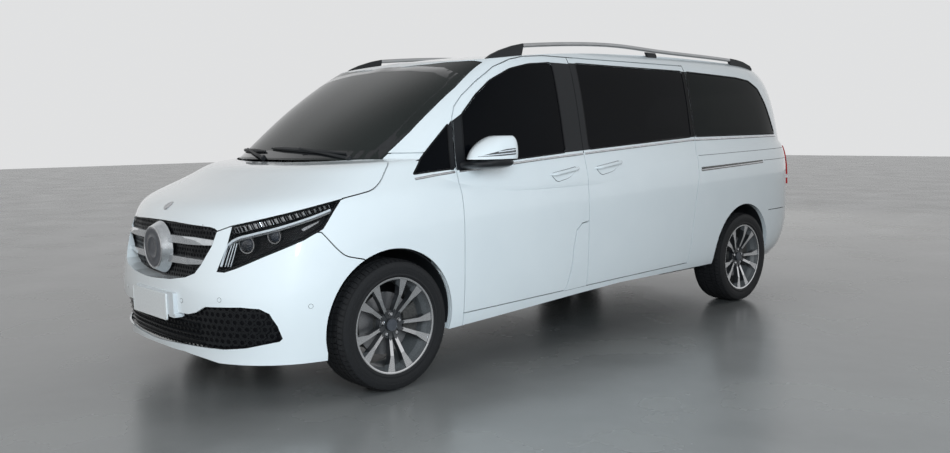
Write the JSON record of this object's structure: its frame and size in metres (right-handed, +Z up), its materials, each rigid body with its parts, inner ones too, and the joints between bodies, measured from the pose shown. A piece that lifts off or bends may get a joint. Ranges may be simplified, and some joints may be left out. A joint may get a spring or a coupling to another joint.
{
  "type": "minivan",
  "caption": "Long-wheelbase minivan with hinged front doors, bonnet and tailgate, steered front wheels and a hollow, seated cabin.",
  "frame": {"origin": "on the ground, in the middle of the car's length and width", "axes": "+X to the car's left, -Y forwards, +Z up"},
  "size_m": [2.248, 5.373, 1.9235],
  "materials": {
    "black_plastic": "matte",
    "glass": "clear",
    "interior": "matte",
    "iron": "machined",
    "lamp": "gloss",
    "paint": "gloss",
    "rail": "satin",
    "rim": "machined",
    "seat": "satin",
    "steel": "satin",
    "tail": "gloss",
    "tyre": "matte",
    "underbody": "matte"
  },
  "bodies": {
    "body": {"arch_liners": "black_plastic", "bulkhead": "underbody", "bumper_grille": "black_plastic", "dashboard": "interior", "engine": "iron", "exhaust": "steel", "floor_pan": "underbody", "front_bumper": "paint", "front_seats": "seat", "front_suspension": "underbody", "front_wings": "paint", "fuel_flap": "paint", "grille_bars": "rail", "headlamps": "lamp", "lamp_housings": "black_plastic", "radiator_grille": "black_plastic", "rail_feet": "black_plastic", "rear_bumper": "paint", "rear_seats": "seat", "rear_suspension": "underbody", "roof_panel": "paint", "roof_rails": "rail", "scuttle_panel": "black_plastic", "side_frame_left": "paint", "side_frame_right": "paint", "side_glass": "glass", "sliding_door_left": "paint", "sliding_door_right": "paint", "steering_wheel": "interior", "tail_lamps": "tail", "windscreen": "glass"},
    "front_door_left": {"front_door_left": "paint", "front_glass_left": "glass", "mirror_cap_left": "paint", "mirror_foot_left": "black_plastic"},
    "front_door_right": {"front_door_right": "paint", "front_glass_right": "glass", "mirror_cap_right": "paint", "mirror_foot_right": "black_plastic"},
    "bonnet": {"bonnet": "paint"},
    "tailgate": {"tailgate": "paint", "rear_window": "glass"},
    "knuckle_left": {"knuckle_left": "iron"},
    "knuckle_right": {"knuckle_right": "iron"},
    "wheel_front_left": {"rim_front_left": "rim", "tyre_front_left": "tyre", "brake_disc_front_left": "steel"},
    "wheel_front_right": {"rim_front_right": "rim", "tyre_front_right": "tyre", "brake_disc_front_right": "steel"},
    "wheel_rear_left": {"rim_rear_left": "rim", "tyre_rear_left": "tyre", "brake_disc_rear_left": "steel"},
    "wheel_rear_right": {"rim_rear_right": "rim", "tyre_rear_right": "tyre", "brake_disc_rear_right": "steel"}
  },
  "joints": [
    {"name": "front_door_left_hinge", "type": "hinge", "parent": "body", "child": "front_door_left", "pos_m": [0.9615, -1.316, 0.85], "axis": [0, 0, -1], "range_deg": [0, 65]},
    {"name": "front_door_right_hinge", "type": "hinge", "parent": "body", "child": "front_door_right", "pos_m": [-0.9615, -1.316, 0.85], "axis": [0, 0, 1], "range_deg": [0, 65]},
    {"name": "bonnet_hinge", "type": "hinge", "parent": "body", "child": "bonnet", "pos_m": [0, -1.668, 1.225], "axis": [-1, 0, 0], "range_deg": [0, 50]},
    {"name": "tailgate_hinge", "type": "hinge", "parent": "body", "child": "tailgate", "pos_m": [0, 2.33, 1.862], "axis": [1, 0, 0], "range_deg": [0, 80]},
    {"name": "steer_left", "type": "hinge", "parent": "body", "child": "knuckle_left", "pos_m": [0.821, -1.79, 0.345], "axis": [0, 0, 1], "range_deg": [-35, 35]},
    {"name": "steer_right", "type": "hinge", "parent": "body", "child": "knuckle_right", "pos_m": [-0.821, -1.79, 0.345], "axis": [0, 0, 1], "range_deg": [-35, 35]},
    {"name": "spin_front_left", "type": "hinge", "parent": "knuckle_left", "child": "wheel_front_left", "pos_m": [0.833, -1.79, 0.345], "axis": [1, 0, 0], "continuous": true},
    {"name": "spin_front_right", "type": "hinge", "parent": "knuckle_right", "child": "wheel_front_right", "pos_m": [-0.833, -1.79, 0.345], "axis": [1, 0, 0], "continuous": true},
    {"name": "spin_rear_left", "type": "hinge", "parent": "body", "child": "wheel_rear_left", "pos_m": [0.823, 1.64, 0.345], "axis": [1, 0, 0], "continuous": true},
    {"name": "spin_rear_right", "type": "hinge", "parent": "body", "child": "wheel_rear_right", "pos_m": [-0.823, 1.64, 0.345], "axis": [1, 0, 0], "continuous": true}
  ],
  "couplings": [
    {"joint": "steer_right", "follows": "steer_left", "ratio": 1}
  ]
}
